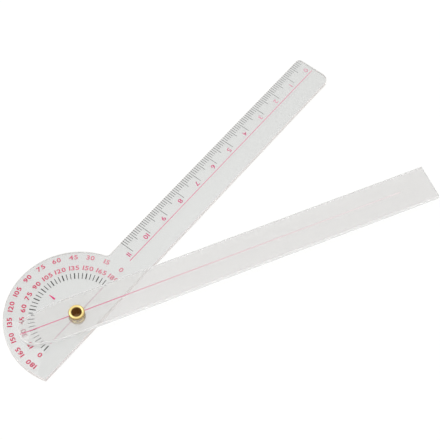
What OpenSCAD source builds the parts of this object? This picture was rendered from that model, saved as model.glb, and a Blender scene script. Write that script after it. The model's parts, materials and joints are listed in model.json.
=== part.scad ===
// Clear plastic angle finder. A half-disc protractor plate runs out into a
// ruler arm. A plain swing arm lies on it and turns about a hollow brass
// eyelet, and the red line along the swing arm is read on the degree scale.
// The origin is where the eyelet's axis meets the plate's graduated upper face.
// +X runs along the ruler arm, +Y is the side of the half disc, +Z points up.

/* [Protractor plate] */
// Thickness of the plate
plate_t = 2.0; // [1.6:0.1:3]
// Radius of the half disc, about the eyelet
disc_r = 26.75; // [26:0.25:32]
// Distance from the centre line to the straight long edge
long_edge_off = 7.9; // [7:0.1:10]
// Distance from the centre line to the graduated edge of the ruler arm
ruler_edge_off = 7.7; // [7:0.1:10]
// Distance from the eyelet to the tip of the ruler arm
plate_reach = 144; // [136:1:170]
// Radius of the tip's corner on the graduated side
tip_r_ruler = 1.5; // [0.5:0.25:3]
// Radius of the tip's corner on the long edge
tip_r_long = 3.5; // [1:0.25:6]
// Radius of the fillet where the half disc meets the ruler arm
throat_r = 1.5; // [0.5:0.25:4]

/* [Swing arm] */
// Thickness of the swing arm
arm_t = 2.0; // [1.6:0.1:3]
// Width of the swing arm
arm_w = 14.6; // [13:0.2:18]
// Distance from the eyelet to the square end
arm_reach = 144; // [120:1:170]
// Distance from the disc's rim in to the end of the rounded tail
tail_inset = 5.05; // [3:0.05:6.5]
// Radius of the rounded tail
tail_r = 6.0; // [5:0.1:6.4]
// Distance from the eyelet to where the sides start to draw in to the tail
shoulder_off = 8.0; // [5:0.5:11]
// Angle from the ruler arm back to the swing arm at rest, in degrees
rest_angle = 28; // [0:1:170]

/* [Eyelet] */
// Diameter of the hole through the eyelet
eyelet_bore_d = 3.5; // [3:0.1:4.5]
// Thickness of the barrel's wall
barrel_wall = 0.35; // [0.25:0.05:0.5]
// Width of the rims, from the hole to their outer edge
rim_w = 1.2; // [1.15:0.05:2]
// Straight height in the upper rim's curl, between its round foot and top
curl_rise = 0.15; // [0.05:0.05:0.5]
// Height of the flat lower rim
lower_rim_h = 0.55; // [0.3:0.05:0.55]

/* [Fits] */
// Height of the printed ink above the plastic
ink_t = 0.03; // [0.02:0.01:0.06]
// Gap between the ink on the plate and the swing arm
ink_clearance = 0.07; // [0.03:0.01:0.2]
// Radial running clearance of the swing arm on the barrel
turning_clearance = 0.06; // [0.02:0.01:0.1]
// Radial clearance of the plate on the barrel
seat_clearance = 0.03; // [0.01:0.01:0.1]
// Gap between the print on the swing arm and the upper rim
rim_clearance = 0.05; // [0.02:0.01:0.2]
// How far the lower rim is sunk into the plate's underside
rim_recess = 0.05; // [0:0.01:0.2]
// Radial gap round the lower rim in its seat
rim_seat_gap = 0.15; // [0.05:0.05:0.4]

/* [Degree scale] */
// Distance from the disc's rim in to the outer ends of the degree ticks
degree_inset = 9.1; // [8.5:0.1:10]
// Length of a degree tick
degree_len = 2.4; // [1.5:0.1:3]
// Step between degree ticks, in degrees
degree_step = 5; // [5:5:15]
// Step between bold degree ticks, in degrees
degree_bold_step = 15; // [15:15:45]
// Width of a fine degree tick
degree_fine_w = 0.27; // [0.1:0.01:0.4]
// Width of a bold degree tick
degree_bold_w = 0.4; // [0.15:0.01:0.6]

/* [Ruler] */
// Length of the graduated scale, in centimetres
ruler_cm = 11; // [5:1:11]
// Distance from the tip of the ruler arm to the zero tick
zero_inset = 1.0; // [0.5:0.1:3]
// Length of a millimetre tick
mm_len = 2.6; // [1.5:0.1:3.5]
// Length of a half-centimetre tick
half_len = 4.0; // [3:0.1:5]
// Length of a centimetre tick
cm_len = 5.9; // [5:0.1:6.5]
// Width of a ruler tick
ruler_tick_w = 0.19; // [0.08:0.01:0.4]

/* [Lines] */
// Width of the red lines
line_w = 0.25; // [0.08:0.01:0.4]
// Gap between the disc's rim and the ruler's centre line
centre_line_gap = 2.5; // [1:0.5:6]
// Distance from the tip of the ruler arm to the end of its centre line
centre_line_end = 1.6; // [0.5:0.1:5]
// Gap between the edge of a sheet's hole and the line that ends at it
line_hole_gap = 0.1; // [0.05:0.05:1]
// Gap between each end of the line through the eyelet and the degree ticks
zero_line_inset = 1.05; // [0.3:0.05:5]
// Distance from the tail's end to the start of the swing arm's line
arm_line_inset = 0.4; // [0.2:0.1:3]
// Distance from the square end to the end of the swing arm's line
arm_line_end = 13; // [2:1:20]
// Distance from the disc's rim in to the tip of the right-angle mark
mark_inset = 13.2; // [12.5:0.1:15]
// Length of the right-angle mark
mark_len = 2.8; // [1.5:0.1:4]
// Width of the right-angle mark at its round end
mark_w = 0.8; // [0.4:0.05:1.2]

/* [Hidden] */
$fn = 96;
cut = 1; // how far a cutting or joining shape runs past the face that it meets

mm_per_cm = 10;
plate_bottom_z = -plate_t;
arm_z = ink_t + ink_clearance;
arm_ink_z = arm_z + arm_t;
upper_rim_z = arm_ink_z + ink_t + rim_clearance;
lower_rim_z = plate_bottom_z + rim_recess + lower_rim_h;

bore_r = eyelet_bore_d / 2;
barrel_r = bore_r + barrel_wall;
rim_r = bore_r + rim_w;
curl_r = rim_w / 2;
plate_hole_r = barrel_r + seat_clearance;
arm_hole_r = barrel_r + turning_clearance;

degree_r_out = disc_r - degree_inset;
degree_r_in = degree_r_out - degree_len;
zero_x = plate_reach - zero_inset;
zero_line_reach = degree_r_in - zero_line_inset;
mark_tip_r = disc_r - mark_inset;

// Where the tail's circle is centred, and the angle at which the sides touch it
arm_tail = disc_r - tail_inset;
tail_x = -(arm_tail - tail_r);
shoulder = [-shoulder_off, arm_w / 2];
shoulder_d = norm(shoulder - [tail_x, 0]);
touch_a = atan2(shoulder[1], shoulder[0] - tail_x) + acos(tail_r / shoulder_d);
tail_steps = 48;

// Centre of the throat's fillet, which touches the disc and the ruler edge
throat_y = ruler_edge_off + throat_r;
throat_x = sqrt(pow(disc_r + throat_r, 2) - pow(throat_y, 2));

// Points along an arc about a centre, from one angle to another
function arc_points(centre, r, from, to) = [
    for (i = [0 : tail_steps])
        let (a = from + (to - from) * i / tail_steps) centre + r * [cos(a), sin(a)]
];

// ---- Clear plastic ----

// A rectangle from x = 0 to x = reach whose two far corners are rounded
module rounded_bar(reach, low, high, r_low, r_high) {
    r_max = max(r_low, r_high);
    translate([0, low]) square([reach - r_max, high - low]);
    translate([0, low + r_low]) square([reach, high - low - r_low - r_high]);
    translate([reach - r_max - cut, low]) square([r_max + cut - r_low, r_max]);
    translate([reach - r_max - cut, high - r_max]) square([r_max + cut - r_high, r_max]);
    translate([reach - r_low, low + r_low]) circle(r_low);
    translate([reach - r_high, high - r_high]) circle(r_high);
}

// The sharp corner between disc and ruler arm, filled to a round throat
module throat() {
    difference() {
        polygon([[0, 0], [throat_x, 0], [throat_x, throat_y]]);
        translate([throat_x, throat_y]) circle(throat_r);
    }
}

module plate_outline() {
    intersection() {
        circle(disc_r, $fn = 180);
        translate([-disc_r - cut, -long_edge_off])
            square([2 * (disc_r + cut), disc_r + long_edge_off + cut]);
    }
    rounded_bar(plate_reach, -long_edge_off, ruler_edge_off, tip_r_long, tip_r_ruler);
    throat();
}

module protractor_plate() {
    color([0.88, 0.89, 0.88, 0.6])
    difference() {
        translate([0, 0, plate_bottom_z]) linear_extrude(plate_t) plate_outline();
        translate([0, 0, plate_bottom_z - cut])
            cylinder(h = plate_t + 2 * cut, r = plate_hole_r);
        translate([0, 0, plate_bottom_z - cut])
            cylinder(h = rim_recess + lower_rim_h + cut, r = rim_r + rim_seat_gap);
    }
}

// A bar with a square end, drawn in by straight sides to a round tail
module arm_outline() {
    polygon(concat(
        [[arm_reach, -arm_w / 2], [arm_reach, arm_w / 2], shoulder],
        arc_points([tail_x, 0], tail_r, touch_a, 360 - touch_a),
        [[shoulder[0], -shoulder[1]]]
    ));
}

// Places a child that is drawn along +X on the swing arm's line at rest
module at_rest() {
    rotate([0, 0, -rest_angle]) children();
}

module swing_arm() {
    color([0.90, 0.88, 0.88, 0.6])
    at_rest() translate([0, 0, arm_z]) difference() {
        linear_extrude(arm_t) arm_outline();
        translate([0, 0, -cut]) cylinder(h = arm_t + 2 * cut, r = arm_hole_r);
    }
}

// ---- Brass eyelet ----

// Half section of the upper rim: metal curled outwards into a round bead
module curled_section() {
    for (height = [curl_r, curl_r + curl_rise])
        translate([bore_r + curl_r, height]) circle(curl_r);
    translate([bore_r, curl_r]) square([rim_w, curl_rise]);
}

// Half section of the lower rim: flat on its seat, with both edges rounded over
module flattened_section() {
    intersection() {
        union() {
            translate([bore_r + lower_rim_h, 0]) circle(lower_rim_h);
            translate([rim_r - lower_rim_h, 0]) circle(lower_rim_h);
            translate([bore_r + lower_rim_h, 0]) square([rim_w - 2 * lower_rim_h, lower_rim_h]);
        }
        square([rim_r + cut, lower_rim_h + cut]);
    }
}

module eyelet() {
    color([0.85, 0.70, 0.32])
    rotate_extrude() {
        translate([0, upper_rim_z]) curled_section();
        translate([bore_r, lower_rim_z])
            square([barrel_wall, upper_rim_z + curl_r - lower_rim_z]);
        translate([0, lower_rim_z]) mirror([0, 1]) flattened_section();
    }
}

// ---- Printed ink ----

// A straight stroke from x0 to x1, centred on the X axis
module stroke(x0, x1, w) {
    translate([x0, -w / 2, 0]) cube([x1 - x0, w, ink_t]);
}

module degree_tick(angle, w) {
    rotate([0, 0, angle]) stroke(degree_r_in, degree_r_out, w);
}

module degree_ticks_fine() {
    color([0.25, 0.25, 0.25])
    for (angle = [0 : degree_step : 180])
        if (angle % degree_bold_step != 0) degree_tick(angle, degree_fine_w);
}

module degree_ticks_bold() {
    color([0.2, 0.2, 0.2])
    for (angle = [0 : degree_bold_step : 180]) degree_tick(angle, degree_bold_w);
}

// A dart on the 90 degree direction, round towards the eyelet
module right_angle_mark() {
    head_r = mark_w / 2;
    head_x = mark_tip_r - mark_len + head_r;
    color([0.62, 0.22, 0.33])
    rotate([0, 0, 90]) linear_extrude(ink_t) {
        translate([head_x, 0]) circle(head_r, $fn = 32);
        polygon([[head_x, -head_r], [mark_tip_r, -line_w / 2],
                 [mark_tip_r, line_w / 2], [head_x, head_r]]);
    }
}

// The line from 0 to 180 degrees, broken at the plate's hole
module zero_line() {
    color([0.62, 0.22, 0.33])
    for (side = [0, 180])
        rotate([0, 0, side]) stroke(plate_hole_r + line_hole_gap, zero_line_reach, line_w);
}

module ruler_centre_line() {
    color([0.62, 0.22, 0.33])
    stroke(disc_r + centre_line_gap, plate_reach - centre_line_end, line_w);
}

// A tick from the graduated edge, at a number of millimetres from the zero
module ruler_tick(mm, len) {
    translate([zero_x - mm, ruler_edge_off, 0])
        rotate([0, 0, -90]) stroke(0, len, ruler_tick_w);
}

module ruler_ticks_mm() {
    color([0.3, 0.3, 0.3])
    for (mm = [1 : ruler_cm * mm_per_cm - 1])
        if (mm % (mm_per_cm / 2) != 0) ruler_tick(mm, mm_len);
}

module ruler_ticks_half_cm() {
    color([0.3, 0.3, 0.3])
    for (cm = [0 : ruler_cm - 1]) ruler_tick((cm + 0.5) * mm_per_cm, half_len);
}

module ruler_ticks_cm() {
    color([0.3, 0.3, 0.3]) {
        for (cm = [1 : ruler_cm]) ruler_tick(cm * mm_per_cm, cm_len);
        // the zero tick starts past the tip's round corner
        translate([zero_x, ruler_edge_off - tip_r_ruler, 0])
            rotate([0, 0, -90]) stroke(0, cm_len - tip_r_ruler, ruler_tick_w);
    }
}

module swing_arm_line() {
    line_start = arm_hole_r + line_hole_gap;
    color([0.62, 0.22, 0.33])
    at_rest() translate([0, 0, arm_ink_z]) {
        rotate([0, 0, 180]) stroke(line_start, arm_tail - arm_line_inset, line_w);
        stroke(line_start, arm_reach - arm_line_end, line_w);
    }
}

protractor_plate();
swing_arm();
eyelet();
degree_ticks_fine();
degree_ticks_bold();
right_angle_mark();
zero_line();
ruler_centre_line();
ruler_ticks_mm();
ruler_ticks_half_cm();
ruler_ticks_cm();
swing_arm_line();
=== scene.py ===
# %% [markdown]
# # A clear plastic angle finder
#
# The object is a small protractor with two arms. One clear sheet is cut as a half disc that
# runs out into a ruler. A second clear sheet, plain but for one red line, lies on top and
# swings about a hollow brass eyelet. The CAD model holds the three pieces and their joint.
# This script gives them their looks: polished sheet that bends what is seen through it,
# printed ink, rolled brass, and the studio that the photograph was taken in.
#
# The first step loads the CAD model, which never moves.

# %% Load the frame
import json
import math

import bmesh
import bpy
from mathutils import Matrix, Quaternion, Vector


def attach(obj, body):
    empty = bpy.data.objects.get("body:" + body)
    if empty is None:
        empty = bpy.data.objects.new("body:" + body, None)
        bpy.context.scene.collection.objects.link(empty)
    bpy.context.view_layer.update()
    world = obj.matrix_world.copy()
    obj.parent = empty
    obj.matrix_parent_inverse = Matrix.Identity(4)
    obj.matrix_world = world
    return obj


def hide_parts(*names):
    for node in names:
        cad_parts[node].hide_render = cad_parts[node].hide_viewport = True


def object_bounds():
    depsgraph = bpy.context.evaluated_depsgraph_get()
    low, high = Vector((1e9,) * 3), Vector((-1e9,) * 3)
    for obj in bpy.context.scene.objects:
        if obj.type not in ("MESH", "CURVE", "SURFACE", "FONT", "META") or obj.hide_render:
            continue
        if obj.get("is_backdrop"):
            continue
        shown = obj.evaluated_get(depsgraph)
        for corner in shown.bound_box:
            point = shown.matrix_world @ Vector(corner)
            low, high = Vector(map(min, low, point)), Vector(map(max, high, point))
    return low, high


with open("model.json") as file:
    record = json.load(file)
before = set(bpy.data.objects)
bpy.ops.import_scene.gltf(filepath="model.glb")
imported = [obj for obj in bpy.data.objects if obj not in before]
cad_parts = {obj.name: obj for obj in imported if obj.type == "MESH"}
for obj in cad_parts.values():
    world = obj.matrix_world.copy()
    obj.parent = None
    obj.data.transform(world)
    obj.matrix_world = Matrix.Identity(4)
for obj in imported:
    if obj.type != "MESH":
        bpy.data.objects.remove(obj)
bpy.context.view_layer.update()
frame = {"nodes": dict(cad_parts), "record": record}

# %% [markdown]
# ## Sizes
#
# Blender works in metres, and a ruler is easier to think about in millimetres, so sizes are
# written in millimetres and one factor turns them. Whatever the CAD model already knows is
# read from its boxes. The swing arm lies at an angle, so its box is taken after turning it
# back: then its length and width can be read too. The eyelet's bore is a mount, a place where
# other parts may be fixed, so its radius stands in the model's record.

# %% Read the sizes of the real pieces
MM = 0.001
rest_angle = 28  # degrees from the ruler arm back to the swing arm


def box_of(points):
    """Lowest and highest corner of a list of points."""
    return [Vector(pick(axis) for axis in zip(*points)) for pick in (min, max)]


def node_box(node, turned=0):
    """The box of a CAD node in millimetres, after a turn about the pivot."""
    turn = Matrix.Rotation(math.radians(turned), 3, "Z")
    return box_of([turn @ v.co / MM for v in frame["nodes"][node].data.vertices])


plate_low, plate_high = node_box("protractor_plate")
arm_low, arm_high = node_box("swing_arm", turned=rest_angle)
eyelet_low, eyelet_high = node_box("eyelet")
eyelet_mount = next(m for m in frame["record"]["mounts"] if m["name"] == "eyelet_bore")
bore_r = eyelet_mount["dims"]["r_mm"]
rim_r = eyelet_high.x
disc_r = plate_high.y
ruler_edge_y = node_box("ruler_ticks_mm")[1].y
print(f"disc radius {disc_r:.2f}, ruler reach {plate_high.x:.2f}, arm width {arm_high.y * 2:.2f}")

# %% [markdown]
# ## One helper for every node tree
#
# Materials, the world and Geometry Nodes are all trees of nodes. One small function adds a
# node, sets its options and fills its inputs: an input that is given a socket is linked, and
# one that is given a value is set. Colours are written as the familiar hex values, and a
# second function turns them into the linear values that the renderer adds up.

# %% Node and colour helpers
def add(tree, kind, values=None, **settings):
    """Adds a node, sets its options, and links or sets each of its inputs named in values."""
    node = tree.nodes.new(kind)
    for name, value in settings.items():
        setattr(node, name, value)
    for name, value in (values or {}).items():
        if isinstance(value, bpy.types.NodeSocket):
            tree.links.new(value, node.inputs[name])
        else:
            node.inputs[name].default_value = value
    return node


def linear(hex_colour):
    """An sRGB hex colour as linear red, green, blue and alpha."""
    parts = [int(hex_colour[i:i + 2], 16) / 255 for i in (1, 3, 5)]
    # the curve of the sRGB standard: straight near black, and a power above that
    return [p / 12.92 if p <= 0.04045 else ((p + 0.055) / 1.055) ** 2.4 for p in parts] + [1.0]


def new_material(name):
    """An empty node material and its tree."""
    material = bpy.data.materials.new(name)
    material.use_nodes = True
    material.node_tree.nodes.clear()
    return material, material.node_tree


print("mid grey #808080 is", round(linear("#808080")[0], 3), "in linear light")

# %% [markdown]
# ## The camera
#
# The ruler gives the scale of the photograph: its centimetre ticks and degree ticks were
# matched to their places in the picture, which gave the camera's place and its long lens. It
# is written here as a photographer would say it: what it aims at, from how far, how steeply,
# and how much it is tilted.

# %% Place the camera
photo_width = 440  # pixels
lens_px = 1304.3  # focal length in pixels of the photograph
sensor_width = 36.0
aim = Vector((63.88, -14.97, 0.0)) * MM
camera_distance = 491.5 * MM
camera_elevation = math.radians(59.09)
camera_heading = math.radians(37.39)  # from +X towards +Y
camera_roll = math.radians(1.30)

forward = Vector((
    math.cos(camera_elevation) * math.cos(camera_heading),
    math.cos(camera_elevation) * math.sin(camera_heading),
    -math.sin(camera_elevation),
))
camera = bpy.data.objects.new("camera", bpy.data.cameras.new("camera"))
bpy.context.scene.collection.objects.link(camera)
camera.data.sensor_width = sensor_width
camera.data.lens = lens_px / photo_width * sensor_width
camera.data.clip_start, camera.data.clip_end = 0.01, 20.0
camera.location = aim - forward * camera_distance
camera.rotation_mode = "QUATERNION"
level = forward.to_track_quat("-Z", "Y")
camera.rotation_quaternion = level @ Quaternion((0, 0, 1), camera_roll)
bpy.context.scene.camera = camera
print(f"lens {camera.data.lens:.1f} mm, camera at", [round(c, 3) for c in camera.location])

# %% [markdown]
# ## Clear plastic sheet
#
# Both arms are cut from clear acrylic about 2 mm thick. What the eye reads as clear plastic
# is refraction: whatever lies under it looks shifted, and the cut edges act as mirrors and
# light guides. So the material is real glass-like transmission with acrylic's IOR of 1.49,
# and not a see-through tint. Handling leaves hairline scratches, which show as a faint
# change of gloss. They are stretched noise: long along one direction and 0.3 mm apart. Fine
# dust and rubbing also scatter a little light, so a small share of the surface is matt white.
# The plate lies under the arm and is nearly clean. The arm is handled most, and it veils the
# print beneath it a little.

# %% Material: polished acrylic sheet
acrylic_ior = 1.49


def acrylic_sheet(name, tint, haze, scratch_turn):
    """Clear cast acrylic with a faint haze and hairline scratches along one direction."""
    material, tree = new_material(name)
    scratch_gap = 0.3 * MM
    scratch_length = 25 * MM
    hair_from, hair_to = 0.5, 0.8  # only the crests of the noise become hairs
    polished, scratched = 0.01, 0.06  # roughness
    place = add(tree, "ShaderNodeTexCoord").outputs["Object"]
    along = add(tree, "ShaderNodeMapping", {
        "Vector": place,
        "Rotation": (0, 0, math.radians(scratch_turn)),
        "Scale": (1 / scratch_length, 1 / scratch_gap, 1 / scratch_gap),
    }).outputs[0]
    hairs = add(tree, "ShaderNodeTexNoise", {"Vector": along, "Scale": 1.0, "Detail": 3.0})
    gloss = add(tree, "ShaderNodeMapRange", {
        "Value": hairs.outputs[0], "From Min": hair_from, "From Max": hair_to,
        "To Min": polished, "To Max": scratched,
    }).outputs[0]
    surface = add(tree, "ShaderNodeBsdfPrincipled", {
        "Base Color": linear(tint),
        "Roughness": gloss,
        "IOR": acrylic_ior,
        "Transmission Weight": 1 - haze,
    })
    add(tree, "ShaderNodeOutputMaterial", {"Surface": surface.outputs[0]})
    return material


plate_face = acrylic_sheet("acrylic_plate_polished", "#FBFCFB", haze=0.02, scratch_turn=0)
arm_face = acrylic_sheet("acrylic_arm_polished", "#FAF9F8", haze=0.17, scratch_turn=rest_angle)
print("faces:", plate_face.name, arm_face.name)

# %% [markdown]
# ## Sawn edges
#
# The edges were sawn, and nobody polished them again. From outside they are frosted, so they
# catch the light like fine snow. From inside the same edge is a mirror, because light that
# meets it at a slant can't leave the sheet: seen through the face, an edge nearly vanishes.
# So the share of light that goes through depends on the side that a ray comes from. The
# saw's teeth leave upright marks that run through the thickness of the sheet, so their noise
# is squeezed flat along Z. They only change the gloss, because a bump would sparkle. The
# plate's edges are a little greyer than the arm's. The drilled holes are matt on both sides,
# and painted warm: a painted reflection of the brass that fills them.

# %% Material: sawn acrylic edge
def sawn_edge(name, tint, frost, matt, matt_inside):
    """A cut edge of acrylic: matt to a degree outside and inside, with upright saw marks."""
    material, tree = new_material(name)
    tooth_gap = 0.8 * MM
    squeeze = 0.05  # a mark is twenty times as high as it is wide
    sway = 0.3  # share by which the gloss varies from mark to mark
    place = add(tree, "ShaderNodeTexCoord").outputs["Object"]
    flat = add(tree, "ShaderNodeMapping", {"Vector": place, "Scale": (1, 1, squeeze)}).outputs[0]
    marks = add(tree, "ShaderNodeTexNoise", {"Vector": flat, "Scale": 1 / tooth_gap})
    gloss = add(tree, "ShaderNodeMapRange", {
        "Value": marks.outputs[0], "To Min": frost * (1 - sway), "To Max": frost * (1 + sway),
    }).outputs[0]
    inside = add(tree, "ShaderNodeNewGeometry").outputs["Backfacing"]
    clear = add(tree, "ShaderNodeMapRange", {
        "Value": inside, "To Min": 1 - matt, "To Max": 1 - matt_inside,
    }).outputs[0]
    surface = add(tree, "ShaderNodeBsdfPrincipled", {
        "Base Color": linear(tint),
        "Roughness": gloss,
        "IOR": acrylic_ior,
        "Transmission Weight": clear,
    })
    add(tree, "ShaderNodeOutputMaterial", {"Surface": surface.outputs[0]})
    return material


sawn = {"frost": 0.15, "matt": 0.7, "matt_inside": 0.02}
drilled = {"frost": 0.5, "matt": 0.85, "matt_inside": 0.85}
plate_edge = sawn_edge("acrylic_plate_sawn", "#EFE9E7", **sawn)
arm_edge = sawn_edge("acrylic_arm_sawn", "#FFFFFE", **sawn)
# the holes' warm tint is a painted reflection of the brass in them
drilled_hole_painted_warm = sawn_edge("acrylic_drilled_painted_warm", "#FAE8D8", **drilled)
print("edges:", [m.name for m in (plate_edge, arm_edge, drilled_hole_painted_warm)])

# %% [markdown]
# ## From an outline to a sheet
#
# A sheet is an outline pulled up by its thickness, with the hair's breadth of rounding that
# scraping off the saw's burr leaves on every edge. Blender's bevel could do it, but an outline
# stacked in levels gives full control: each level is the outline drawn in a little, and the
# levels are joined by walls. An outline is a list of points, and its round stretches are arcs.

# %% Outline helpers
def arc(centre, radius, start, end, steps):
    """Points along an arc, with its angles in degrees."""
    angles = [math.radians(start + (end - start) * i / steps) for i in range(steps + 1)]
    return [Vector((centre[0] + radius * math.cos(a), centre[1] + radius * math.sin(a)))
            for a in angles]


def drawn_in(points, distance):
    """A counter-clockwise outline moved inwards, with its corners kept sharp."""
    narrowest = 0.2  # holds a needle-sharp corner back
    moved = []
    for before, point, after in zip(points[-1:] + points, points, points[1:] + points[:1]):
        into, out = (point - before).normalized(), (after - point).normalized()
        inward = Vector((-into.y - out.y, into.x + out.x)).normalized()
        corner = max(narrowest, inward.dot(Vector((-into.y, into.x))))
        moved.append(point + inward * distance / corner)
    return moved


print("a quarter circle in 8 steps has", len(arc((0, 0), 1, 0, 90, 8)), "points")

# %% [markdown]
# The sheet maker builds four things: the rounded outer wall, the wall of the hole, and the two
# flat faces, which are filled between the outer loop and the hole. Those stay flat-shaded, so
# that their big triangles refract like a true plane. The walls are smooth-shaded, and their
# sharp edges are marked, so that the light doesn't smear over the corner.

# %% Sheet maker
edge_round = 0.15
edge_steps = 3
hole_steps = 64
edge_slot, hole_slot = 1, 2  # places in a sheet's list of materials, where 0 is its face
sharp_from = math.radians(40)


def clear_sheet(name, outline, hole, low_z, high_z, materials, turn=0):
    """A sheet from an outline in millimetres. hole lists (radius, z) from bottom to top."""
    bm = bmesh.new()
    quarter = [math.pi / 2 * i / edge_steps for i in range(edge_steps + 1)]
    curve = [(edge_round * (1 - math.sin(a)), edge_round * (1 - math.cos(a))) for a in quarter]
    levels = [(d, low_z + h) for d, h in curve] + [(d, high_z - h) for d, h in curve[::-1]]
    rings = [[bm.verts.new((p.x, p.y, z)) for p in drawn_in(outline, d)] for d, z in levels]
    for lower, upper in zip(rings, rings[1:]):
        for i in range(len(lower)):
            j = (i + 1) % len(lower)
            face = bm.faces.new((lower[i], lower[j], upper[j], upper[i]))
            face.smooth = True
            face.material_index = edge_slot
    bores = [[bm.verts.new((p.x, p.y, z)) for p in arc((0, 0), r, 0, 360, hole_steps)[:-1]]
             for r, z in hole]
    for lower, upper in zip(bores, bores[1:]):
        for i in range(hole_steps):
            j = (i + 1) % hole_steps
            face = bm.faces.new((lower[j], lower[i], upper[i], upper[j]))
            face.smooth = True
            face.material_index = hole_slot
    for outer, inner in ((rings[0], bores[0]), (rings[-1], bores[-1])):
        loops = [bm.edges.get((ring[i - 1], ring[i])) for ring in (outer, inner)
                 for i in range(len(ring))]
        bmesh.ops.triangle_fill(bm, edges=loops, use_beauty=True)
    bmesh.ops.recalc_face_normals(bm, faces=bm.faces)
    place = Matrix.Scale(MM, 4) @ Matrix.Rotation(math.radians(turn), 4, "Z")
    bm.transform(place)
    mesh = bpy.data.meshes.new(name)
    bm.to_mesh(mesh)
    open_edges = sum(not e.is_manifold for e in bm.edges)
    bm.free()
    mesh.set_sharp_from_angle(angle=sharp_from)
    for material in materials:
        mesh.materials.append(material)
    piece = bpy.data.objects.new(name, mesh)
    bpy.context.scene.collection.objects.link(piece)
    print(f"{name}: {len(mesh.polygons)} faces, {open_edges} open edges")
    return piece


print(f"edges rounded by {edge_round} mm in {edge_steps} steps")

# %% [markdown]
# ## The protractor plate
#
# Its outline is one walk round the sheet: along the straight long edge, round the two
# corners of the tip, back along the ruler's edge, through the small hollow throat, and over
# the half disc. Every stretch is a line or an arc, so the points come from a formula. The
# hole has two steps: the barrel's, and below it the wider seat that the lower rim sinks into,
# which lets the plate lie flat.

# %% Build the protractor plate
tip_r_long = 3.5
tip_r_ruler = 1.5
throat_r = 1.5
plate_hole_r = 2.13
seat_play = 0.15
seat_depth = 0.6
tip_steps, corner_steps, disc_steps = 12, 10, 200

rim_seat_r = rim_r + seat_play
rim_seat_top_z = plate_low.z + seat_depth
throat_y = ruler_edge_y + throat_r
throat_x = math.sqrt((disc_r + throat_r) ** 2 - throat_y ** 2)
throat_angle = math.degrees(math.atan2(throat_y, throat_x))
chord_angle = math.degrees(math.asin(-plate_low.y / disc_r))
reach = plate_high.x
plate_outline = (
    arc((reach - tip_r_long, plate_low.y + tip_r_long), tip_r_long, -90, 0, tip_steps)
    + arc((reach - tip_r_ruler, ruler_edge_y - tip_r_ruler), tip_r_ruler, 0, 90, corner_steps)
    + arc((throat_x, throat_y), throat_r, -90, throat_angle - 180, corner_steps)
    + arc((0, 0), disc_r, throat_angle, 180 + chord_angle, disc_steps)[1:]
)
plate_hole = [
    (rim_seat_r, plate_low.z), (rim_seat_r, rim_seat_top_z),
    (plate_hole_r, rim_seat_top_z), (plate_hole_r, plate_high.z),
]
plate = clear_sheet("plate_sheet", plate_outline, plate_hole, plate_low.z, plate_high.z,
                    (plate_face, plate_edge, drilled_hole_painted_warm))
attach(plate, "plate")
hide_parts("protractor_plate")

# %% [markdown]
# ## The swing arm
#
# The arm is a plain bar with one square end. Near the eyelet its sides are drawn in by
# straight cuts to a round tail. The cuts touch the tail's circle, and the angle at which they
# do is worked out. The arm is drawn straight, then turned to where it rests.

# %% Build the swing arm
tail_r = 6.0
shoulder_off = 8.0
arm_hole_r = 2.16
tail_steps = 48

half_w = arm_high.y
tail_x = arm_low.x + tail_r
shoulder = Vector((-shoulder_off, half_w))
to_shoulder = shoulder - Vector((tail_x, 0))
touch_angle = math.degrees(
    math.atan2(to_shoulder.y, to_shoulder.x) + math.acos(tail_r / to_shoulder.length))
arm_outline = (
    [Vector((arm_high.x, -half_w)), Vector((arm_high.x, half_w)), shoulder]
    + arc((tail_x, 0), tail_r, touch_angle, 360 - touch_angle, tail_steps)
    + [Vector((-shoulder_off, -half_w))]
)
arm_hole = [(arm_hole_r, arm_low.z), (arm_hole_r, arm_high.z)]
arm = clear_sheet("swing_arm_sheet", arm_outline, arm_hole, arm_low.z, arm_high.z,
                  (arm_face, arm_edge, drilled_hole_painted_warm), turn=-rest_angle)
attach(arm, "arm")
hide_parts("swing_arm")

# %% [markdown]
# ## Ink
#
# The graduations are screen-printed: ink is pressed through a mesh and dries as a matt film
# that lets a little of the light through where it is thin. The black is a soft charcoal and
# the red a crimson, warmer in the degree numbers than in the lines. A fine noise, 0.05 mm
# across, breaks up the film. The film also gets thinner and paler from where the printer's
# blade starts to where it ends, or where fingers have rubbed it, so each print has a stretch
# along which it fades: an even fade where the bend is 1, and a quick start where it is less.

# %% Material: screen-printed ink
def printed_ink(name, thick, thin, pale, start, end, pale_share, bend=1, turn=0):
    """Matt screen ink that pales from start to end, in millimetres along X after a turn."""
    material, tree = new_material(name)
    mesh_gap = 0.05 * MM
    dried_roughness = 0.6
    place = add(tree, "ShaderNodeTexCoord").outputs["Object"]
    film = add(tree, "ShaderNodeTexNoise", {"Vector": place, "Scale": 1 / mesh_gap, "Detail": 1.0})
    colour = add(tree, "ShaderNodeMix", {
        "Factor": film.outputs[0], "A": linear(thick), "B": linear(thin),
    }, data_type="RGBA")
    along = add(tree, "ShaderNodeMapping", {"Vector": place, "Rotation": (0, 0, math.radians(turn))})
    along_x = add(tree, "ShaderNodeSeparateXYZ", {0: along.outputs[0]}).outputs["X"]
    worn = add(tree, "ShaderNodeMapRange", {
        "Value": along_x, "From Min": start * MM, "From Max": end * MM,
    }).outputs[0]
    bent = add(tree, "ShaderNodeMath", {0: worn, 1: bend}, operation="POWER").outputs[0]
    share = add(tree, "ShaderNodeMath", {0: bent, 1: pale_share}, operation="MULTIPLY").outputs[0]
    faded = add(tree, "ShaderNodeMix", {
        "Factor": share, "A": colour.outputs["Result"], "B": linear(pale),
    }, data_type="RGBA")
    surface = add(tree, "ShaderNodeBsdfPrincipled", {
        "Base Color": faded.outputs["Result"], "Roughness": dried_roughness,
    })
    add(tree, "ShaderNodeOutputMaterial", {"Surface": surface.outputs[0]})
    return material


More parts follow.
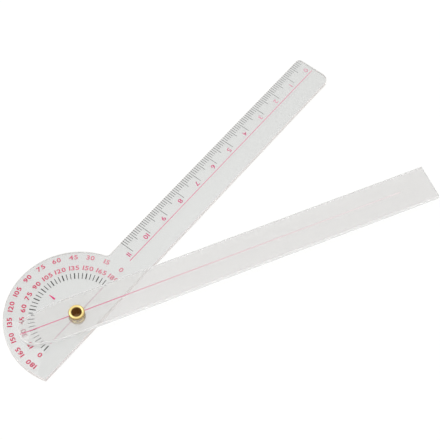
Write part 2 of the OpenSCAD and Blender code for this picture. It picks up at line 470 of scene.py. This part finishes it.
black, thin_black, pale_black = "#100E0D", "#262321", "#D6D7D6"
red, thin_red, pale_red = "#CE1868", "#DA407E", "#EED8DE"
warm_red, thin_warm_red = "#C81C50", "#D6446A"
rose, thin_rose = "#D678A0", "#DC90AE"  # the same crimson in a film so thin that light gets through
rubbed_red = "#E8E2E2"  # the arm's line is nearly rubbed off towards its far end
black_ink = printed_ink("charcoal_screen_ink", black, thin_black, pale_black,
                        start=33, end=143, pale_share=0.3)
red_ink = printed_ink("crimson_screen_ink", red, thin_red, pale_red,
                      start=30, end=143, pale_share=0.33, bend=0.5)
degree_red = printed_ink("crimson_degree_ink", warm_red, thin_warm_red, pale_red,
                         start=-2, end=24, pale_share=0.33)
number_red = printed_ink("crimson_number_ink", red, thin_red, pale_red,
                         start=75, end=115, pale_share=0.45)
zero_red = printed_ink("crimson_thin_ink", rose, thin_rose, pale_red,
                       start=0, end=15, pale_share=0.2)
arm_red = printed_ink("crimson_arm_ink", red, thin_red, rubbed_red,
                      start=17, end=110, pale_share=0.85, bend=0.5, turn=rest_angle)
print("inks:", [m.name for m in (black_ink, red_ink, degree_red, number_red, zero_red, arm_red)])

# %% [markdown]
# ## Graduations with Geometry Nodes
#
# A scale is one tick repeated by a rule: each tick is turned a little, or moved a little,
# from the one before. That is what Geometry Nodes do well. One tree serves the degree scale,
# the ruler and the straight lines. Its points are placed by their index, a box stands on
# each, and every so many ticks can be skipped, because the bold or longer ones go there.

# %% The tick row tree
def tick_row_tree():
    """Boxes in a row: each is turned and moved from the one before by a fixed step."""
    half = 0.5  # tells 0 from 1 and more, whatever the rounding
    tree = bpy.data.node_groups.new("tick_row", "GeometryNodeTree")
    for name, kind in (("Count", "Int"), ("First turn", "Float"), ("Turn", "Float"),
                       ("First", "Vector"), ("Step", "Vector"), ("Size", "Vector"),
                       ("Skip every", "Int"), ("Ink", "Material")):
        tree.interface.new_socket(name=name, in_out="INPUT", socket_type="NodeSocket" + kind)
    tree.interface.new_socket(name="Marks", in_out="OUTPUT", socket_type="NodeSocketGeometry")
    given = add(tree, "NodeGroupInput").outputs
    index = add(tree, "GeometryNodeInputIndex").outputs[0]
    turn = add(tree, "ShaderNodeMath", {0: index, 1: given["Turn"], 2: given["First turn"]},
               operation="MULTIPLY_ADD").outputs[0]
    turned = add(tree, "ShaderNodeVectorRotate", {"Vector": given["First"], "Angle": turn},
                 rotation_type="Z_AXIS").outputs[0]
    moved = add(tree, "ShaderNodeVectorMath", {0: given["Step"], "Scale": index},
                operation="SCALE").outputs[0]
    place = add(tree, "ShaderNodeVectorMath", {0: turned, 1: moved}, operation="ADD").outputs[0]
    points = add(tree, "GeometryNodePoints", {"Count": given["Count"], "Position": place})
    left_over = add(tree, "ShaderNodeMath", {0: index, 1: given["Skip every"]},
                    operation="MODULO").outputs[0]
    between = add(tree, "FunctionNodeCompare", {0: left_over, 1: half},
                  operation="GREATER_THAN").outputs[0]
    keep_all = add(tree, "FunctionNodeCompare", {0: given["Skip every"], 1: half},
                   operation="LESS_THAN").outputs[0]
    keep = add(tree, "FunctionNodeBooleanMath", {0: between, 1: keep_all}, operation="OR")
    euler = add(tree, "ShaderNodeCombineXYZ", {"Z": turn}).outputs[0]
    rotation = add(tree, "FunctionNodeEulerToRotation", {"Euler": euler}).outputs[0]
    box = add(tree, "GeometryNodeMeshCube", {"Size": given["Size"]}).outputs["Mesh"]
    marks = add(tree, "GeometryNodeInstanceOnPoints", {
        "Points": points.outputs[0], "Selection": keep.outputs[0],
        "Instance": box, "Rotation": rotation,
    }).outputs[0]
    real = add(tree, "GeometryNodeRealizeInstances", {"Geometry": marks}).outputs[0]
    inked = add(tree, "GeometryNodeSetMaterial", {"Geometry": real, "Material": given["Ink"]})
    add(tree, "NodeGroupOutput", {"Marks": inked.outputs[0]})
    return tree


tick_row = tick_row_tree()
print("tree inputs:", [s.name for s in tick_row.interface.items_tree if s.in_out == "INPUT"])

# %% [markdown]
# A modifier's inputs are set by each socket's identifier. When the tree has run, its result
# is copied out as a plain mesh and the modifier goes, so that only finished geometry is left.

# %% Run a tree and keep its mesh
def baked(name, tree, values, mesh=None):
    """An object that holds what a Geometry Nodes tree makes, as a plain mesh."""
    piece = bpy.data.objects.new(name, mesh or bpy.data.meshes.new(name + "_start"))
    bpy.context.scene.collection.objects.link(piece)
    modifier = piece.modifiers.new("rule", "NODES")
    modifier.node_group = tree
    for socket in tree.interface.items_tree:
        if socket.in_out == "INPUT" and socket.name in values:
            modifier[socket.identifier] = values[socket.name]
    graph = bpy.context.evaluated_depsgraph_get()
    made = bpy.data.meshes.new_from_object(piece.evaluated_get(graph), depsgraph=graph)
    piece.modifiers.remove(modifier)
    made.name = name
    piece.data = made
    return piece


# %% [markdown]
# The film is 0.024 mm thick in all. A hair of it is sunk into the sheet, because ink wets
# the plastic: with no air between them, the ink also shows from inside, in the cut edges.

# %% Print marks
ink_height = 0.02
ink_sunk = 0.004
box_faces = 6


def print_marks(name, node, body, ink, surface_z, first, size, count=1, turn=0,
                first_turn=0, step=0, skip=0):
    """A row of printed marks. first is the middle of the first mark, size its two sides.

    turn (degrees) and step (millimetres) lead from each mark to the next, and each skip-th
    mark is left out."""
    film = ink_height + ink_sunk
    middle_z = surface_z + (ink_height - ink_sunk) / 2
    piece = baked(name, tick_row, {
        "Count": count, "Turn": math.radians(turn), "First turn": math.radians(first_turn),
        "First": Vector((*first, middle_z)) * MM, "Step": Vector((step, 0, 0)) * MM,
        "Size": Vector((*size, film)) * MM, "Skip every": skip, "Ink": ink,
    })
    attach(piece, body)
    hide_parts(node)
    print(f"{name}: {len(piece.data.polygons) // box_faces} marks")
    return piece


print(f"ink film {ink_height + ink_sunk:.3f} mm thick")

# %% [markdown]
# ## The degree scale and the ruler
#
# The half disc has a tick every 5 degrees from 0 to 180, and every third is bold. The first
# tick lies along X, so the bold row's lowest point is half a tick's width below the axis. The
# ruler has a tick every millimetre, longer ones at the half centimetres and the longest at the
# centimetres. Its zero is near the tip, so the ticks are counted back towards the eyelet.

# %% Degree scale
half_turn = 180  # degrees
fine_step = 5
bold_every = 3
bold_step = fine_step * bold_every
degree_len = 2.4
degree_fine_w = 0.27

bold_low, bold_high = node_box("degree_ticks_bold")
degree_bold_w = -2 * bold_low.y
degree_middle = (bold_high.x - degree_len / 2, 0)
print_marks("degree_marks_fine", "degree_ticks_fine", "plate", black_ink,
            plate_high.z, degree_middle, (degree_len, degree_fine_w),
            count=half_turn // fine_step + 1, turn=fine_step, skip=bold_every)
print_marks("degree_marks_bold", "degree_ticks_bold", "plate", black_ink,
            plate_high.z, degree_middle, (degree_len, degree_bold_w),
            count=half_turn // bold_step + 1, turn=bold_step)

# %% Ruler scale
zero_x = 143.0
ruler_cm = 11
ruler_mark_w = 0.19
for name, node, first_mm, step_mm, count, skip in (
    ("ruler_marks_mm", "ruler_ticks_mm", 0, 1, 10 * ruler_cm, 5),
    ("ruler_marks_half_cm", "ruler_ticks_half_cm", 5, 10, ruler_cm, 0),
    ("ruler_marks_cm", "ruler_ticks_cm", 10, 10, ruler_cm, 0),
):
    low, high = node_box(node)
    length = high.y - low.y
    print_marks(name, node, "plate", black_ink, plate_high.z,
                (zero_x - first_mm, high.y - length / 2), (ruler_mark_w, length),
                count=count, step=-step_mm, skip=skip)

# %% [markdown]
# ## Red lines
#
# Three red lines carry the measurement: the ruler's centre line, the line through the eyelet
# from 0 to 180 degrees, and the index line of the swing arm, which also crosses the tail.

# %% Straight red lines
centre_low, centre_high = node_box("ruler_centre_line")
centre_length = centre_high.x - centre_low.x
line_w = 0.25
hole_gap = 0.1  # from the edge of a sheet's hole to the line that ends at it
print_marks("centre_line_ink", "ruler_centre_line", "plate", red_ink, plate_high.z,
            (centre_low.x + centre_length / 2, 0), (centre_length, line_w))
zero_start = plate_hole_r + hole_gap
zero_end = node_box("zero_line")[1].x
print_marks("zero_line_ink", "zero_line", "plate", zero_red, plate_high.z,
            ((zero_start + zero_end) / 2, 0), (zero_end - zero_start, line_w), count=2, turn=180)
index_start = arm_hole_r + hole_gap
index_low, index_high = node_box("swing_arm_line", turned=rest_angle)
for name, end, turn in (("index_line_ink", index_high.x, 0), ("tail_line_ink", -index_low.x, 180)):
    print_marks(name, "swing_arm_line", "arm", arm_red, arm_high.z,
                ((index_start + end) / 2, 0), (end - index_start, line_w),
                first_turn=turn - rest_angle)

# %% [markdown]
# ## The right-angle mark
#
# At 90 degrees a small red dart points outwards, round towards the eyelet.

# %% Right-angle dart
def flat_print(name, outline, surface_z):
    """A printed shape: a counter-clockwise outline in millimetres, as thick as the ink film."""
    bm = bmesh.new()
    levels = [surface_z - ink_sunk, surface_z + ink_height]
    lower, upper = [[bm.verts.new((p.x, p.y, z)) for p in outline] for z in levels]
    for i in range(len(outline)):
        bm.faces.new((lower[i - 1], lower[i], upper[i], upper[i - 1]))
    bm.faces.new(upper)
    bm.faces.new(lower[::-1])
    bm.transform(Matrix.Scale(MM, 4))
    mesh = bpy.data.meshes.new(name)
    bm.to_mesh(mesh)
    bm.free()
    piece = bpy.data.objects.new(name, mesh)
    bpy.context.scene.collection.objects.link(piece)
    return piece


head_steps = 16
dart_low, dart_high = node_box("right_angle_mark")
head_r = dart_high.x
head_y = dart_low.y + head_r
dart_outline = arc((0, head_y), head_r, -180, 0, head_steps) + [
    Vector((line_w / 2, dart_high.y)), Vector((-line_w / 2, dart_high.y))]
dart = flat_print("right_angle_dart", dart_outline, plate_high.z)
dart.data.materials.append(red_ink)
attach(dart, "plate")
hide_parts("right_angle_mark")
print(f"dart {dart_high.y - dart_low.y:.2f} mm long")

# %% [markdown]
# ## Numbers
#
# Two rows of degree numbers run opposite ways round the half disc, with their tops outwards,
# and the ruler is numbered along its centre line, upside down to it. Blender's text objects
# draw the digits, which are made meshes, scaled to their real height, and only then placed.
# The strokes are thickened by a share of the type size, a little more on the half disc.

# %% Digits
digit_gap = 0.17  # share of the height between neighbouring digits
digit_stretch = 1.25  # times as wide as the type's own digits
digit_curve_steps = 4


def mesh_box(mesh):
    """The box of a mesh, in the mesh's own units."""
    return box_of([v.co for v in mesh.vertices])


def digit_mesh(digit, height, weight):
    """One digit as a flat mesh in millimetres, with its lower left corner at the origin."""
    curve = bpy.data.curves.new("digit", "FONT")
    curve.body = digit
    curve.offset = weight
    curve.resolution_u = digit_curve_steps
    holder = bpy.data.objects.new("digit", curve)
    bpy.context.scene.collection.objects.link(holder)
    graph = bpy.context.evaluated_depsgraph_get()
    mesh = bpy.data.meshes.new_from_object(holder.evaluated_get(graph), depsgraph=graph)
    bpy.data.objects.remove(holder)
    low, high = mesh_box(mesh)
    size = height / (high.y - low.y)
    mesh.transform(Matrix.Diagonal((size * digit_stretch, size, size, 1))
                   @ Matrix.Translation(-low))
    return mesh


def number_digits(text, height, weight):
    """The digits of a number set side by side, with the middle of the number at the origin."""
    meshes, reach = [], 0
    for digit in text:
        mesh = digit_mesh(digit, height, weight)
        mesh.transform(Matrix.Translation((reach, 0, 0)))
        reach = mesh_box(mesh)[1].x + digit_gap * height
        meshes.append(mesh)
    middle = Vector(((reach - digit_gap * height) / 2, height / 2, 0))
    for mesh in meshes:
        mesh.transform(Matrix.Translation(-middle))
    return meshes


print(f"digits {digit_stretch} times as wide as the type's own")

# %% [markdown]
# All the labels of a row are one piece, since one pass of the printer's blade makes them. The
# flat digits are gathered, each is welded where its fill left a seam, and then all are pulled
# up by the thickness of the film. That gives every digit a floor, a top and walls.

# %% Print numbers
weld_gap = 0.001


def print_numbers(name, labels, height, weight, ink):
    """One piece that holds every label, each given as (text, x, y, turn in degrees)."""
    bm = bmesh.new()
    for text, x, y, turn in labels:
        place = Matrix.Translation((x, y, plate_high.z - ink_sunk))
        place = place @ Matrix.Rotation(math.radians(turn), 4, "Z")
        for mesh in number_digits(text, height, weight):
            mesh.transform(place)
            bm.from_mesh(mesh)
            bpy.data.meshes.remove(mesh)
    bmesh.ops.remove_doubles(bm, verts=bm.verts, dist=weld_gap)
    lifted = bmesh.ops.extrude_face_region(bm, geom=bm.faces[:])
    top = [v for v in lifted["geom"] if isinstance(v, bmesh.types.BMVert)]
    bmesh.ops.translate(bm, verts=top, vec=(0, 0, ink_height + ink_sunk))
    bmesh.ops.recalc_face_normals(bm, faces=bm.faces)
    bm.transform(Matrix.Scale(MM, 4))
    mesh = bpy.data.meshes.new(name)
    bm.to_mesh(mesh)
    open_edges = sum(not e.is_manifold for e in bm.edges)
    bm.free()
    mesh.materials.append(ink)
    piece = bpy.data.objects.new(name, mesh)
    bpy.context.scene.collection.objects.link(piece)
    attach(piece, "plate")
    print(f"{name}: {len(labels)} labels, {len(mesh.polygons)} faces, {open_edges} open edges")
    return piece


# %% Degree numbers
outer_number_r = 24.3
inner_number_r = 19.8
degree_number_height = 1.85
degree_digit_weight = 0.026


def round_the_disc(value, angle, radius):
    """A label on the half disc at an angle, with its top outwards."""
    a = math.radians(angle)
    return (str(value), radius * math.cos(a), radius * math.sin(a), angle - 90)


degrees = range(0, half_turn + 1, bold_step)
print_numbers("degree_numbers_outer",
              [round_the_disc(value, value, outer_number_r) for value in degrees],
              degree_number_height, degree_digit_weight, degree_red)
print_numbers("degree_numbers_inner",
              [round_the_disc(value, half_turn - value, inner_number_r) for value in degrees],
              degree_number_height, degree_digit_weight, degree_red)

# %% Ruler numbers
ruler_number_height = 1.9
ruler_digit_weight = 0.008
ruler_number_shift = 2.0  # from the tick towards the eyelet
ruler_number_y = 2.0
print_numbers("ruler_numbers",
              [(str(cm), zero_x - 10 * cm - ruler_number_shift, ruler_number_y, half_turn)
               for cm in range(ruler_cm + 1)],
              ruler_number_height, ruler_digit_weight, number_red)

# %% [markdown]
# ## The brass eyelet
#
# An eyelet is a short drawn tube. Its upper end is curled outwards into a round bead and its
# lower end is pressed flat. Polished brass is a pure metal: full metallic, a warm yellow base
# colour, and gloss that varies a little where the rolling tool burnished it. Tarnish stays
# where no tool or cloth gets at the metal: on the wall of the bore. Round the outer edge of the
# bead, where it curls under down by the plastic, and of the lower rim, the same dull colour is
# painted shade. Both are told by the distance from the axis.

# %% Material: rolled brass
def rolled_brass(name):
    """Drawn and rolled brass: burnished on top, oxidised in the bore, and darkened by painted shade
    at the outer edge of its rims.
    """
    material, tree = new_material(name)
    grain = 0.25 * MM
    burnished, bright_spots, tarnish_and_shade_colour = "#F0D585", "#F8E3A0", "#BE9C68"
    wall_depth, wall_fade = 0.02, 0.2  # full tarnish and none, outwards from the bore's wall
    painted_shade_width = 0.4  # the painted shade at the outer edge grows over this much of the rim
    painted_shade_strength = 0.8
    smoothest, roughest = 0.15, 0.3
    dulled_by = 0.3  # roughness that full tarnish, and full painted shade, add
    place = add(tree, "ShaderNodeTexCoord").outputs["Object"]
    mottle = add(tree, "ShaderNodeTexNoise", {"Vector": place, "Scale": 1 / grain, "Detail": 2.0})
    bright = add(tree, "ShaderNodeMix", {
        "Factor": mottle.outputs[0], "A": linear(burnished), "B": linear(bright_spots),
    }, data_type="RGBA")
    flat = add(tree, "ShaderNodeVectorMath", {0: place, 1: (1, 1, 0)}, operation="MULTIPLY")
    from_axis = add(tree, "ShaderNodeVectorMath", {0: flat.outputs[0]}, operation="LENGTH")
    in_bore = add(tree, "ShaderNodeMapRange", {
        "Value": from_axis.outputs["Value"],
        "From Min": (bore_r + wall_depth) * MM, "From Max": (bore_r + wall_fade) * MM,
        "To Min": 1.0, "To Max": 0.0,
    }).outputs[0]
    # painted shade: the outer edge of the bead and of the lower rim fades towards the dull colour
    outer_edge_painted_shade = add(tree, "ShaderNodeMapRange", {
        "Value": from_axis.outputs["Value"],
        "From Min": (rim_r - painted_shade_width) * MM, "From Max": rim_r * MM,
        "To Min": 0.0, "To Max": painted_shade_strength,
    }).outputs[0]
    # the dull colour marks tarnish in the bore and painted shade at the outer edge
    tarnish_and_painted_shade = add(tree, "ShaderNodeMath", {0: in_bore, 1: outer_edge_painted_shade}, operation="MAXIMUM").outputs[0]
    colour = add(tree, "ShaderNodeMix", {
        "Factor": tarnish_and_painted_shade, "A": bright.outputs["Result"], "B": linear(tarnish_and_shade_colour),
    }, data_type="RGBA")
    gloss = add(tree, "ShaderNodeMapRange", {
        "Value": mottle.outputs[0], "To Min": smoothest, "To Max": roughest,
    }).outputs[0]
    dull = add(tree, "ShaderNodeMath", {0: tarnish_and_painted_shade, 1: dulled_by, 2: gloss}, operation="MULTIPLY_ADD")
    surface = add(tree, "ShaderNodeBsdfPrincipled", {
        "Base Color": colour.outputs["Result"], "Metallic": 1.0, "Roughness": dull.outputs[0],
    })
    add(tree, "ShaderNodeOutputMaterial", {"Surface": surface.outputs[0]})
    return material


brass = rolled_brass("rolled_brass")
print("metal:", brass.name)

# %% [markdown]
# The eyelet is round all over, as if turned on a lathe. Blender's Spin or Screw could turn its
# section, but a Geometry Nodes tree keeps the sizes as named inputs: the section is swept
# round a circle. The circle has the barrel's radius, and the section is drawn from there.

# %% The lathe tree
def lathe_tree():
    """Sweeps a closed section, drawn as edges in X and Y, round a circle about the Z axis."""
    tree = bpy.data.node_groups.new("lathe", "GeometryNodeTree")
    for name, kind in (("Section", "Geometry"), ("Path radius", "Float"), ("Steps", "Int"),
                       ("Metal", "Material")):
        tree.interface.new_socket(name=name, in_out="INPUT", socket_type="NodeSocket" + kind)
    tree.interface.new_socket(name="Turned", in_out="OUTPUT", socket_type="NodeSocketGeometry")
    given = add(tree, "NodeGroupInput").outputs
    section = add(tree, "GeometryNodeMeshToCurve", {"Mesh": given["Section"]}).outputs[0]
    path = add(tree, "GeometryNodeCurvePrimitiveCircle", {
        "Resolution": given["Steps"], "Radius": given["Path radius"],
    }).outputs["Curve"]
    swept = add(tree, "GeometryNodeCurveToMesh", {"Curve": path, "Profile Curve": section})
    smooth = add(tree, "GeometryNodeSetShadeSmooth", {"Geometry": swept.outputs[0]}).outputs[0]
    real = add(tree, "GeometryNodeRealizeInstances", {"Geometry": smooth}).outputs[0]
    metal = add(tree, "GeometryNodeSetMaterial", {"Geometry": real, "Material": given["Metal"]})
    add(tree, "NodeGroupOutput", {"Turned": metal.outputs[0]})
    return tree


lathe = lathe_tree()
print("tree inputs:", [s.name for s in lathe.interface.items_tree if s.in_out == "INPUT"])

# %% [markdown]
# The section goes once round the metal: over the upper bead, in under it to the barrel's
# outside, down to the lower rim, round that, and back up through the bore. The lower rim is
# the same half circle as the bead, but pressed flatter. The bead stays clear of the swing arm,
# which turns under it.

# %% Eyelet section
barrel_wall = 0.35
lower_rim_h = 0.55
bead_clear = 0.08
curl_steps, neck_steps, turn_steps = 20, 14, 96

curl_r = (rim_r - bore_r) / 2
upper_rim_z = arm_high.z + bead_clear
barrel_r = bore_r + barrel_wall
curl_middle = bore_r + curl_r
lower_rim_z = eyelet_low.z + lower_rim_h
neck_angle = math.degrees(math.acos((barrel_r - curl_middle) / curl_r))
pressed_rim = [Vector((rim_r if p.x > curl_middle else bore_r, lower_rim_z)) + Vector((
    p.x - curl_middle - math.copysign(curl_r, p.x - curl_middle), p.y * lower_rim_h / curl_r))
    for p in arc((curl_middle, 0), curl_r, 0, -180, curl_steps)]
section = (
    arc((curl_middle, eyelet_high.z - curl_r), curl_r, 180, 0, curl_steps)
    + arc((curl_middle, upper_rim_z + curl_r), curl_r, 0, -neck_angle, neck_steps)
    + [Vector((barrel_r, lower_rim_z))]
    + pressed_rim
)
mesh = bpy.data.meshes.new("eyelet_section")
mesh.from_pydata([((p.x - barrel_r) * MM, -p.y * MM, 0) for p in section],
                 [(i, (i + 1) % len(section)) for i in range(len(section))], [])
eyelet = baked("eyelet_brass", lathe, {
    "Path radius": barrel_r * MM, "Steps": turn_steps, "Metal": brass,
}, mesh)
print("eyelet box, mm:", [[round(c / MM, 2) for c in corner] for corner in mesh_box(eyelet.data)])
print("CAD eyelet box:", [[round(c, 2) for c in corner] for corner in (eyelet_low, eyelet_high)])
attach(eyelet, "plate")
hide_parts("eyelet")

# %% [markdown]
# ## Floor, world and lights
#
# The real table was pale grey, and the white round it was put in afterwards: the grey only
# shows through the plastic. So the floor glows white to the camera, and pale grey when it is
# seen through the sheet or mirrored, with a painted pool of light under the middle of the
# object. A tenth of it stays an ordinary lit surface, which keeps a trace of the object's
# shadow. Inside the eyelet nothing glows, because no light to speak of gets down there, and
# the floor there is painted warm: a painted reflection of the brass wall. From below the floor
# can be seen through, so that the underside can be looked at too.

# %% Material: studio floor
painted_pool_grey, grey_far = 0.77, 0.745  # glow through the sheet in the painted pool of light, and away from it
# a painted pool of light: the floor seen through the sheet is lighter round this point
painted_pool_middle = Vector((50, -40, 0)) * MM
painted_pool_near, painted_pool_far = 40 * MM, 90 * MM
bore_margin = 0.3
glow_start = (bore_r + bore_margin) * MM  # from the pivot
lit_share = 0.1
white_boost = 1.03  # makes up for the lit share, so that the mix is white
# the last colour is painted on the floor inside the eyelet: a painted reflection of the warm brass
# wall
glow_colour, table_colour, painted_brass_reflection_in_bore = "#FFFFFE", "#F6F6F4", "#D8BC94"


def studio_floor():
    """White to the camera, pale grey through the sheet, and gone when seen from below."""
    material, tree = new_material("studio_floor")
    ray = add(tree, "ShaderNodeLightPath").outputs
    place = add(tree, "ShaderNodeTexCoord").outputs["Object"]
    from_pivot = add(tree, "ShaderNodeVectorMath", {0: place}, operation="LENGTH").outputs["Value"]
    open_floor = add(tree, "ShaderNodeMath", {0: from_pivot, 1: glow_start},
                     operation="GREATER_THAN").outputs[0]
    # painted pool of light: the grey rises towards its middle
    off_painted_pool = add(tree, "ShaderNodeVectorMath", {0: place, 1: painted_pool_middle}, operation="DISTANCE")
    grey = add(tree, "ShaderNodeMapRange", {
        "Value": off_painted_pool.outputs["Value"], "From Min": painted_pool_near, "From Max": painted_pool_far,
        "To Min": painted_pool_grey, "To Max": grey_far,
    }, interpolation_type="SMOOTHSTEP").outputs[0]
    through = add(tree, "ShaderNodeMath", {
        0: ray["Is Transmission Ray"], 1: ray["Is Glossy Ray"],
    }, operation="MAXIMUM").outputs[0]
    strength = add(tree, "ShaderNodeMapRange", {
        "Value": through, "To Min": white_boost, "To Max": grey,
    }).outputs[0]
    glow = add(tree, "ShaderNodeEmission", {"Color": linear(glow_colour), "Strength": strength})
    glow_share = add(tree, "ShaderNodeMath", {0: open_floor, 1: 1 - lit_share},
                     operation="MULTIPLY").outputs[0]
    # inside the eyelet the floor is painted with the brass reflection instead of the table's colour
    paint = add(tree, "ShaderNodeMix", {
        "Factor": open_floor, "A": linear(painted_brass_reflection_in_bore), "B": linear(table_colour),
    }, data_type="RGBA").outputs["Result"]
    lit = add(tree, "ShaderNodeBsdfDiffuse", {"Color": paint})
    mixed = add(tree, "ShaderNodeMixShader", {0: glow_share, 1: lit.outputs[0], 2: glow.outputs[0]})
    from_below = add(tree, "ShaderNodeNewGeometry").outputs["Backfacing"]
    gone = add(tree, "ShaderNodeBsdfTransparent").outputs[0]
    one_way = add(tree, "ShaderNodeMixShader", {0: from_below, 1: mixed.outputs[0], 2: gone})
    add(tree, "ShaderNodeOutputMaterial", {"Surface": one_way.outputs[0]})
    return material


floor_look = studio_floor()
print(f"floor glows {white_boost} in plain view, {painted_pool_grey} to {grey_far} through the sheet")

# %% Lay the floor
table_gap = 0.02
floor_reach = 6.0  # metres from the middle to each side
mesh = bpy.data.meshes.new("floor")
mesh.from_pydata([(x * floor_reach, y * floor_reach, 0) for x, y in
                  ((-1, -1), (1, -1), (1, 1), (-1, 1))], [], [(0, 1, 2, 3)])
mesh.materials.append(floor_look)
floor = bpy.data.objects.new("floor", mesh)
floor.location.z = (plate_low.z - table_gap) * MM
bpy.context.scene.collection.objects.link(floor)
floor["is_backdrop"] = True
print(f"floor {table_gap} mm under the plate")

# %% [markdown]
# Surfaces are lit evenly from all round, as in a white tent. Metal and glossy plastic would
# look like white paint in such a tent, because a mirror shows what it faces. So what they
# mirror is a room: a bright ceiling, walls that get darker towards the floor, and one side
# that is darker than the others. What is seen past the floor, straight or through the sheet,
# is plain white.

# %% World
white_level = 1.0
fill_level = 1.0
dark_side = (-0.13, -0.99, 0.0)  # direction of the darkest wall
wall_bright, wall_dark = 0.8, 0.35
wall_turn = -0.5  # cosine to the dark side up to which a wall stays at its brightest
ceiling_level = 1.05
ceiling_height = 0.7  # upward share of the direction from which all is ceiling


def studio_world():
    """Even white light for surfaces, and a room with a dark side for what mirrors."""
    world = bpy.data.worlds.new("studio")
    world.use_nodes = True
    tree = world.node_tree
    tree.nodes.clear()
    ray = add(tree, "ShaderNodeLightPath").outputs
    direction = add(tree, "ShaderNodeTexCoord").outputs["Generated"]
    towards = add(tree, "ShaderNodeVectorMath", {0: direction, 1: dark_side},
                  operation="DOT_PRODUCT").outputs["Value"]
    wall = add(tree, "ShaderNodeMapRange", {
        "Value": towards, "From Min": wall_turn, "From Max": 1.0,
        "To Min": wall_bright, "To Max": wall_dark,
    }).outputs[0]
    height = add(tree, "ShaderNodeSeparateXYZ", {0: direction}).outputs["Z"]
    room = add(tree, "ShaderNodeMapRange", {
        "Value": height, "From Min": 0.0, "From Max": ceiling_height,
        "To Min": wall, "To Max": ceiling_level,
    }).outputs[0]
    seen = add(tree, "ShaderNodeMath", {
        0: ray["Is Camera Ray"], 1: ray["Is Transmission Ray"],
    }, operation="MAXIMUM").outputs[0]
    mirrored = add(tree, "ShaderNodeMix", {
        "Factor": ray["Is Glossy Ray"], "A": fill_level, "B": room,
    }).outputs[0]
    level = add(tree, "ShaderNodeMix", {
        "Factor": seen, "A": mirrored, "B": white_level,
    }).outputs[0]
    sky = add(tree, "ShaderNodeBackground", {"Color": linear("#FFFFFF"), "Strength": level})
    add(tree, "ShaderNodeOutputWorld", {"Surface": sky.outputs[0]})
    return world


bpy.context.scene.world = studio_world()
print("world lights at", fill_level)

# %% [markdown]
# One large soft lamp stands high on the camera's left. It gives the brass its highlight and
# the cut edges their lit side, and it is weak enough for the colours to render about as they
# are written. It is hidden from straight view: seen through the sheet from below, it would
# outshine the print.

# %% Softbox
softbox_side = 0.6  # metres
softbox_watts = 1.5
softbox_place = (-0.2, 0.5, 0.8)
softbox = bpy.data.objects.new("softbox", bpy.data.lights.new("softbox", "AREA"))
softbox.data.shape = "RECTANGLE"
softbox.data.size, softbox.data.size_y = softbox_side, softbox_side
softbox.data.energy = softbox_watts
softbox.location = softbox_place
softbox.rotation_mode = "QUATERNION"
softbox.rotation_quaternion = (aim - softbox.location).to_track_quat("-Z", "Y")
softbox.visible_camera = False
softbox.visible_transmission = False
bpy.context.scene.collection.objects.link(softbox)
print(f"softbox {softbox_side} m wide at {softbox_watts} W")

# %% [markdown]
# A ray that goes down through two sheets and up again crosses eight faces, and in the bore it
# is passed from wall to wall before it gets out. With few bounces the bore would turn black
# and the edges dull, so more are allowed. Colours are shown as they are, with no film look.

# %% Render settings that belong to the look
most_bounces = 24
diffuse_bounces = 16
see_through_faces = 16
scene = bpy.context.scene
scene.view_settings.view_transform = "Standard"
scene.cycles.max_bounces = most_bounces
scene.cycles.diffuse_bounces = diffuse_bounces
scene.cycles.transmission_bounces = most_bounces
scene.cycles.glossy_bounces = most_bounces
scene.cycles.transparent_max_bounces = see_through_faces
print("light may bounce", scene.cycles.max_bounces, "times")

# %% [markdown]
# ## Finish
#
# The box of the visual model is printed. The visual model has to stay inside the CAD
# model's box.

# %% Print the visual box and finish
low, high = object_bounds()
print("visual box in metres:", low[:], high[:])
